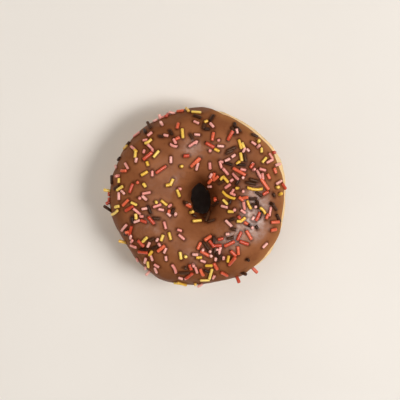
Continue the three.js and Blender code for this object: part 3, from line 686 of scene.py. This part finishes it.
ICING_ROUNDS, ICING_OVER, ICING_UNDER = 560, 160, 10
ICING_BURIED = 0.9  # how deep the icing's hidden back lies in the dough
STRAND_REACH = 6  # how far a strand changes the icing at all
CROWDING = 3  # how far a strand counts as a neighbour
# Painted shade where the strands crowd sets in and is full at these sums of neighbours.
CROWD_SHADE_FROM, CROWD_SHADE_AT = 1.2, 4  # sums of neighbours
RISE_HEIGHT, RISE_WIDTH = 0.26, 0.9  # the icing's rise against a strand
LIP_SINK, SINK_WIDTH = 0.35, 0.5  # the very edge's sinking towards the dough
STRAND_SHADE_WIDTH, DULLED_WIDTH, DULLING = 1.4, 1.6, 0.5  # painted shade and duller gloss on the icing next to a strand
BLUNT = 4  # power of a bell that is flat on top
FAST_THINNING, SLOW_THINNING = 1.6, 7.5  # how far in from the edge
# Degrees over the waist at which the painted shade low on the outer slope is strongest, and gone.
LOW_SHADE_AT, LOW_SHADE_TO = 10, 75
# Degrees over the waist between which painted shade deepens down the hole, and how much sooner it does so on
# the +X side and later on the -X side.
HOLE_SHADE_FROM, HOLE_SHADE_AT, HOLE_SHADE_SOONER = 118, 160, 9
FAINT_GLOSS = 0.05  # the icing's gloss away from these places
# Where the icing has set glossier: place, spread and strength.
GLOSSY_PLACES = [
    (28.5, -13.5, 7, 1), (26, -9, 5, 0.9), (17.5, -18, 7, 1), (28.5, 0, 5, 0.85), (34, -4, 5, 0.5),
    (-2, 26, 5, 0.45), (2, 25, 6, 0.2), (-28, -16, 7, 0.7), (-2, -32, 5, 0.3),
    (-10, 4, 3, 0.4), (-10, 8, 3, 0.5), (-7, 11.5, 3, 0.4),
]


def near_strands(points, strands):
    """Distance from each point to the nearest strand's axis, or far off if none is near, and how many
    strands are near there: the sum of bells over their distances."""
    nearest, crowd = np.full(points.shape[:-1], FAR_OFF), np.zeros(points.shape[:-1])
    for centre, axis, length in zip(strands["centre"], strands["axis"], strands["length"]):
        near = np.linalg.norm(points - centre, axis=-1) < length / 2 + STRAND_REACH
        offset = points[near] - centre
        along = np.clip(offset @ axis, -length / 2, length / 2)
        distance = np.linalg.norm(offset - along[:, None] * axis, axis=-1)
        nearest[near] = np.minimum(nearest[near], distance)
        crowd[near] += bell(distance, CROWDING)
    return nearest, crowd


def glossiness(points):
    """How glossy the icing has set, 0 to 1: the largest of bells round the places where it set
    last, and of a faint gloss all over."""
    shine = np.full(points.shape[:-1], FAINT_GLOSS)
    for x, y, spread, strength in GLOSSY_PLACES:
        distance = np.hypot(points[..., 0] - x, points[..., 1] - y)
        shine = np.maximum(shine, strength * bell(distance, spread))
    return shine


def thinness(turn, around):
    """1 at the outer edge, falling fast over the lip, and slowly where the edge is high."""
    depth_in = SECTION_RADIUS * (around - outer_edge(turn))
    fast = 1 - smooth_step(depth_in, 0, FAST_THINNING)
    slow = 1 - smooth_step(depth_in, 0, SLOW_THINNING)
    return 0.5 * fast + 0.5 * slow * bareness(turn)


def icing_values(turn, around, skin, nearest, crowd):
    """What changes over the icing, each 0 to 1, by the name of its attribute."""
    over_waist = np.degrees(around)
    low_slope_shade = 1 - smooth_step(over_waist, LOW_SHADE_AT, LOW_SHADE_TO)
    sooner = HOLE_SHADE_SOONER * np.cos(turn)
    return {
        "thin": thinness(turn, around),
        # painted shade low on the outer slope, away from the high edge
        "low_slope_shade": (1 - bareness(turn)) * low_slope_shade,
        # painted shade down the hole
        "hole_shade": smooth_step(over_waist + sooner, HOLE_SHADE_FROM, HOLE_SHADE_AT),
        # painted shade next to the strands
        "strand_shade": bell(nearest, STRAND_SHADE_WIDTH, BLUNT),
        # painted shade where the strands crowd
        "crowd_shade": smooth_step(crowd, CROWD_SHADE_FROM, CROWD_SHADE_AT),
        "gloss": glossiness(skin) * (1 - DULLING * bell(nearest, DULLED_WIDTH, BLUNT)),
    }


def make_icing(strands):
    """A closed coat: over the top from the outer edge to the edge in the hole, on the icing's
    skin with its relief and its rise against the strands, and back inside the dough, where it
    can't be seen."""
    over = np.linspace(0, 1, ICING_OVER)
    over = (over + 0.5 * (1 - np.cos(np.pi * over))) / 2  # closer together near both edges
    back = np.linspace(1, 0, ICING_UNDER + 2)[1:-1]
    turns = np.linspace(0, 2 * np.pi, ICING_ROUNDS, endpoint=False)
    turn, share = np.meshgrid(turns, np.concatenate([over, back]), indexing="ij")
    around = outer_edge(turn) + (hole_edge(turn) - outer_edge(turn)) * share
    depth_in = from_edge(turn, around)
    skin, up = icing_skin(turn, around), outward(dough_skin, turn, around)
    relief = icing_relief(skin, depth_in)
    nearest, crowd = near_strands(skin + up * relief[..., None], strands)
    height = relief + RISE_HEIGHT * bell(nearest, RISE_WIDTH)
    height -= LIP_SINK * (1 - smooth_step(depth_in, 0, SINK_WIDTH))
    buried = dough_skin(turn, around) - up * ICING_BURIED
    on_top = (np.arange(share.shape[1]) < ICING_OVER)[None, :, None]
    points = np.where(on_top, skin + up * height[..., None], buried)
    faces = ring_faces(ICING_ROUNDS, share.shape[1]).tolist()
    values = icing_values(turn, around, skin, nearest, crowd)
    make_piece("icing", "chocolate_icing", points, faces, icing_finish(), values)


# ---- The strands' pieces ---------------------------------------------------------------------

RING_SIDES = 8
ENDS_IN = np.array([0, 0.12, 0.36])  # how far in from an end the rings that round it lie
RING_SIZES = np.array([0.62, 0.9, 1, 1, 1, 1, 0.9, 0.62])  # shares of a strand's radius
# Thinnest and thickest strand of each colour, as shares of the usual one.
THICKNESS = {"red": (1.04, 1.2), "pink": (0.86, 1.02), "yellow": (0.92, 1.08), "brown": (0.95, 1.1)}
# Heights over the icing at which a strand's painted shade is full and gone.
FOOT_SHADE_TO, UNSHADED_FROM = -0.06, 1.1  # heights over the icing
STRAND_SEED = 7  # of the strands' thicknesses and tones


def strand_rings(strands, radius):
    """Rings carried along each strand's axis, small at both ends. A ring's middle is
    centre + axis x place - side x bow x (1 - (2 place / length) squared), where the bow is an
    arc's, length x bend / 8, and a corner is r (side cos a + inward sin a) from it."""
    half = strands["length"][:, None] / 2
    places = np.concatenate([-half + ENDS_IN, -half / 3, half / 3, half - ENDS_IN[::-1]], axis=1)
    bow = strands["length"] * strands["bend"] / 8
    sideways = bow[:, None] * (1 - (places / half) ** 2)
    inward = np.cross(strands["side"], strands["axis"])[:, None, None]
    centre, axis, side = (strands[key][:, None] for key in ("centre", "axis", "side"))
    middles = centre + axis * places[..., None] - side * sideways[..., None]
    angles = np.arange(RING_SIDES)[:, None] * 2 * np.pi / RING_SIDES
    ring = side[:, :, None] * np.cos(angles) + inward * np.sin(angles)
    return middles[:, :, None] + ring * (radius * RING_SIZES)[..., None, None]


def strand_faces(count):
    """Quads round the sides of so many strands, and then a face over each first and last ring."""
    rings = len(RING_SIZES)
    ring_at, corner = np.meshgrid(np.arange(rings - 1), np.arange(RING_SIDES), indexing="ij")
    following = (corner + 1) % RING_SIDES
    this_ring, next_ring = ring_at * RING_SIDES, (ring_at + 1) * RING_SIDES
    corners = [this_ring + corner, this_ring + following, next_ring + following, next_ring + corner]
    quads = np.stack(corners, axis=-1).reshape(1, -1, 4)
    start = np.arange(count)[:, None] * rings * RING_SIDES
    first = start + np.arange(RING_SIDES)[::-1]
    last = start + (rings - 1) * RING_SIDES + np.arange(RING_SIDES)
    return (start[..., None] + quads).reshape(-1, 4).tolist() + first.tolist() + last.tolist()


def make_strands(sugar, strands, draw):
    """Round sugar strands of one colour, each of its own thickness and tone, with painted shade from the
    foot up by the height over the icing."""
    count = len(strands["length"])
    radius = STRAND_RADIUS * draw.uniform(*THICKNESS[sugar], size=(count, 1))
    points = strand_rings(strands, radius)
    offset = points - strands["centre"][:, None, None]
    height = (offset @ strands["up"][:, None, :, None])[..., 0] + strands["ride"][:, None, None]
    values = {
        "tone": np.broadcast_to(draw.uniform(0, 1, size=(count, 1, 1)), height.shape),
        # painted shade on the strand's lower sides
        "foot_shade": 1 - smooth_step(height, FOOT_SHADE_TO, UNSHADED_FROM),
    }
    faces, finish = strand_faces(count), sugar_finish(sugar)
    make_piece("strands_" + sugar, "chocolate_icing", points, faces, finish, values)


sugars, strands = laid_strands()
make_dough()
make_icing(strands)
draw = np.random.default_rng(STRAND_SEED)
for sugar in STRANDS:
    of_this_sugar = {key: value[sugars == sugar] for key, value in strands.items()}
    make_strands(sugar, of_this_sugar, draw)

# ---- Floor, light and camera -----------------------------------------------------------------

CAMERA_HEIGHT = 1000  # millimetres
CAMERA_X, CAMERA_Y = 1.93, -1.56
FRAME_WIDTH = 208.6  # what the frame covers at the height of the waist
SENSOR_WIDTH = 36
FARTHEST_SEEN = 10  # metres
FLOOR_SIZE = 6000
FLOOR_DARK, FLOOR_LIGHT = colour(0.78, 0.745, 0.705), colour(0.81, 0.775, 0.735)
ROOM_TINT, ROOM_STRENGTH = colour(1.0, 0.98, 0.96), 0.04
DAYLIGHT, SKY_TINT, WALL_TINT = (1.0, 0.985, 0.965), (1.0, 0.94, 0.88), (1.0, 0.945, 0.87)
# Each light's azimuth and elevation in degrees, distance and size in metres, power, tint,
# whether it lights things up, and whether it shines in what is glossy.
LIGHTS = {
    "window": (-8, 50, 1.3, 0.55, 8.2, DAYLIGHT, True, True),
    "pane": (-20, 58, 1.3, 0.3, 4.8, DAYLIGHT, True, False),
    "skylight": (-20, 80, 1.3, 0.7, 12, SKY_TINT, False, True),
    "left_wall": (190, 38, 1.6, 1.6, 11, WALL_TINT, True, False),
    "back_wall": (95, 38, 1.6, 1.6, 9.5, WALL_TINT, True, False),
    "front_wall": (265, 38, 1.6, 1.6, 3.5, WALL_TINT, True, False),
}


def make_floor():
    """A wide plain sheet under the doughnut, with a very faint grain."""
    half = FLOOR_SIZE / 2
    corners = np.array([[-half, -half, 0], [half, -half, 0], [half, half, 0], [-half, half, 0]])
    mesh = bpy.data.meshes.new("floor")
    mesh.from_pydata((corners * METRE).tolist(), [], [(0, 1, 2, 3)])
    finish = Finish("pale_floor")
    tone = finish.mix(finish.noise(60, 2), FLOOR_DARK, FLOOR_LIGHT)
    mesh.materials.append(finish.surface(Base_Color=tone, Roughness=0.8, Specular_IOR_Level=0.0))
    floor = put_in_scene("floor", mesh)


def make_light(name, azimuth, elevation, distance, size, power, tint, lights, shines):
    """A square soft light that faces the doughnut from an azimuth, anticlockwise from +X, and
    an elevation."""
    data = bpy.data.lights.new(name, "AREA")
    data.size, data.energy, data.color = size, power, tint
    light = put_in_scene(name, data)
    turn, lift = math.radians(azimuth), math.radians(elevation)
    flat = math.cos(lift) * distance
    light.location = (flat * math.cos(turn), flat * math.sin(turn), math.sin(lift) * distance)
    light.rotation_euler = (math.pi / 2 - lift, 0, turn + math.pi / 2)
    light.visible_diffuse, light.visible_glossy = lights, shines


def make_camera():
    """Looks straight down, with a lens whose frame covers the width at the waist."""
    data = bpy.data.cameras.new("camera")
    data.sensor_width = SENSOR_WIDTH
    data.lens = SENSOR_WIDTH * (CAMERA_HEIGHT - WAIST_HEIGHT) / FRAME_WIDTH
    data.clip_end = FARTHEST_SEEN
    camera = put_in_scene("camera", data)
    camera.location = (CAMERA_X * METRE, CAMERA_Y * METRE, CAMERA_HEIGHT * METRE)
    bpy.context.scene.camera = camera


def make_world():
    """Even pale light from all round."""
    world = bpy.data.worlds.new("room")
    world.use_nodes = True
    backdrop = world.node_tree.nodes["Background"]
    backdrop.inputs["Color"].default_value = ROOM_TINT
    backdrop.inputs["Strength"].default_value = ROOM_STRENGTH
    bpy.context.scene.world = world


make_floor()
for name, settings in LIGHTS.items():
    make_light(name, *settings)
make_camera()
make_world()
bpy.context.scene.view_settings.view_transform = "Standard"
